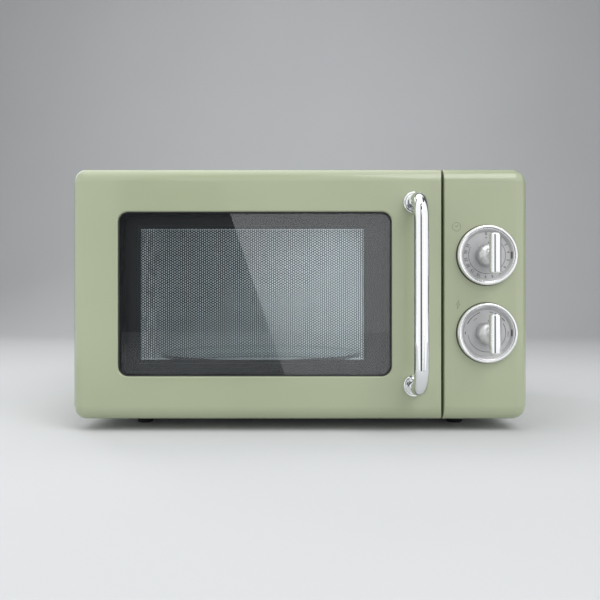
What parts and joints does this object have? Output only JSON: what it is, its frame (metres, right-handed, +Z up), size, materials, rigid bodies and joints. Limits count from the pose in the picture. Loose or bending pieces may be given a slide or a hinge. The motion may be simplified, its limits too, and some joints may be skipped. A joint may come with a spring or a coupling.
{
  "type": "microwave oven",
  "caption": "Free-standing sage-green microwave oven: side-hinged door with a chrome bar handle and perforated window, rotary timer and power dials, glass turntable.",
  "frame": {"origin": "middle of the whole bounding box in X and Y, on the surface that the feet stand on", "axes": "+Z up; the door and control panel face -Y; +X to the right seen from the front"},
  "size_m": [0.45, 0.385, 0.259],
  "materials": {
    "sage_sheet": "satin sage-green paint on sheet steel",
    "sage_moulding": "satin sage-green moulded plastic",
    "chrome": "polished chrome plate",
    "dial_silver": "satin silver with a printed scale",
    "smoked_glass": "smoked, smooth",
    "clear_glass": "clear, smooth",
    "clear_film": "clear film",
    "enamel": "speckled light grey enamel",
    "screen_black": "black, finely perforated",
    "black_moulding": "black, fine-grained",
    "foot_rubber": "matt black",
    "white_moulding": "natural white",
    "zinc_steel": "zinc-plated",
    "lamination": "varnished lamination edges",
    "aluminium": "plain rolled",
    "copper": "enamelled winding wire",
    "mica": "mottled mica",
    "board_green": "solder-masked board"
  },
  "bodies": {
    "oven": {"outer_cabinet": "sage_sheet", "rear_panel": "sage_sheet", "base_plate": "zinc_steel", "feet": "foot_rubber", "cabinet_screws": "zinc_steel", "front_plate": "sage_sheet", "cord_inlet": "black_moulding", "cavity_walls": "enamel", "cavity_floor": "enamel", "cavity_back": "enamel", "waveguide": "zinc_steel", "waveguide_cover": "mica", "lamp_bulb": "clear_glass", "lamp_holder": "zinc_steel", "turntable_motor": "zinc_steel", "magnetron_yoke": "zinc_steel", "magnetron_fins": "aluminium", "magnetron_tube": "copper", "magnetron_filter_box": "aluminium", "transformer_core": "lamination", "transformer_coils": "copper", "hv_capacitor": "aluminium", "capacitor_clamp": "zinc_steel", "hv_diode": "black_moulding", "fan_shroud": "white_moulding", "fan_motor": "lamination", "timer_unit": "white_moulding", "power_selector": "black_moulding", "interlock_bracket": "white_moulding", "interlock_switches": "black_moulding", "filter_board": "board_green", "thermal_cutouts": "black_moulding", "control_panel": "sage_moulding", "dial_plates": "dial_silver", "dial_bezels": "chrome", "hinge_brackets": "zinc_steel"},
    "door": {"door_frame": "sage_moulding", "door_glass": "smoked_glass", "door_inner_panel": "sage_sheet", "door_screen": "screen_black", "choke_cover": "black_moulding", "screen_film": "clear_film", "door_handle": "chrome", "handle_rosettes": "chrome", "handle_screws": "zinc_steel", "latch_spring": "zinc_steel"},
    "latch": {"door_latch": "white_moulding"},
    "timer_control": {"timer_knob": "chrome", "timer_shaft": "zinc_steel"},
    "power_control": {"power_knob": "chrome", "power_shaft": "zinc_steel"},
    "turntable_drive": {"turntable_shaft": "white_moulding", "turntable_coupler": "white_moulding"},
    "turntable": {"turntable_plate": "clear_glass"},
    "roller_carrier": {"roller_ring": "white_moulding"},
    "wheel_1": {"roller_wheel_1": "white_moulding"},
    "wheel_2": {"roller_wheel_2": "white_moulding"},
    "wheel_3": {"roller_wheel_3": "white_moulding"},
    "fan": {"fan_blade": "white_moulding", "fan_shaft": "zinc_steel"}
  },
  "joints": [
    {"name": "door_hinge", "type": "hinge", "parent": "oven", "child": "door", "pos_m": [-0.2155, -0.1255, 0.1355], "axis": [0, 0, -1], "range_deg": [0, 100]},
    {"name": "latch_slide", "type": "slide", "parent": "door", "child": "latch", "axis": [0, 0, 1], "range_m": [-0.004, 0], "stiffness_N_per_m": 150, "springref_m": -0.008, "deforming": ["latch_spring"]},
    {"name": "timer_turn", "type": "hinge", "parent": "oven", "child": "timer_control", "pos_m": [0.1829, -0.1455, 0.1735], "axis": [0, 1, 0], "range_deg": [0, 300]},
    {"name": "power_turn", "type": "hinge", "parent": "oven", "child": "power_control", "pos_m": [0.1829, -0.1455, 0.0975], "axis": [0, 1, 0], "range_deg": [-90, 225]},
    {"name": "turntable_spin", "type": "hinge", "parent": "oven", "child": "turntable_drive", "pos_m": [-0.048, 0.03325, 0.052], "axis": [0, 0, 1], "continuous": true},
    {"name": "turntable_lift", "type": "slide", "parent": "turntable_drive", "child": "turntable", "axis": [0, 0, 1], "range_m": [0, 0.03]},
    {"name": "carrier_roll", "type": "hinge", "parent": "oven", "child": "roller_carrier", "pos_m": [-0.048, 0.03325, 0.045], "axis": [0, 0, 1], "continuous": true},
    {"name": "wheel_1_roll", "type": "hinge", "parent": "roller_carrier", "child": "wheel_1", "pos_m": [-0.048, 0.12075, 0.045], "axis": [0, 1, 0], "continuous": true},
    {"name": "wheel_2_roll", "type": "hinge", "parent": "roller_carrier", "child": "wheel_2", "pos_m": [-0.12378, -0.0105, 0.045], "axis": [-0.866, -0.5, 0], "continuous": true},
    {"name": "wheel_3_roll", "type": "hinge", "parent": "roller_carrier", "child": "wheel_3", "pos_m": [0.02778, -0.0105, 0.045], "axis": [0.866, -0.5, 0], "continuous": true},
    {"name": "fan_spin", "type": "hinge", "parent": "oven", "child": "fan", "pos_m": [0.16735, 0.1265, 0.175], "axis": [0, 1, 0], "continuous": true}
  ],
  "couplings": [
    {"joint": "carrier_roll", "follows": "turntable_spin", "ratio": 0.5},
    {"joint": "wheel_1_roll", "follows": "turntable_spin", "ratio": -6.25},
    {"joint": "wheel_2_roll", "follows": "turntable_spin", "ratio": -6.25},
    {"joint": "wheel_3_roll", "follows": "turntable_spin", "ratio": -6.25}
  ]
}
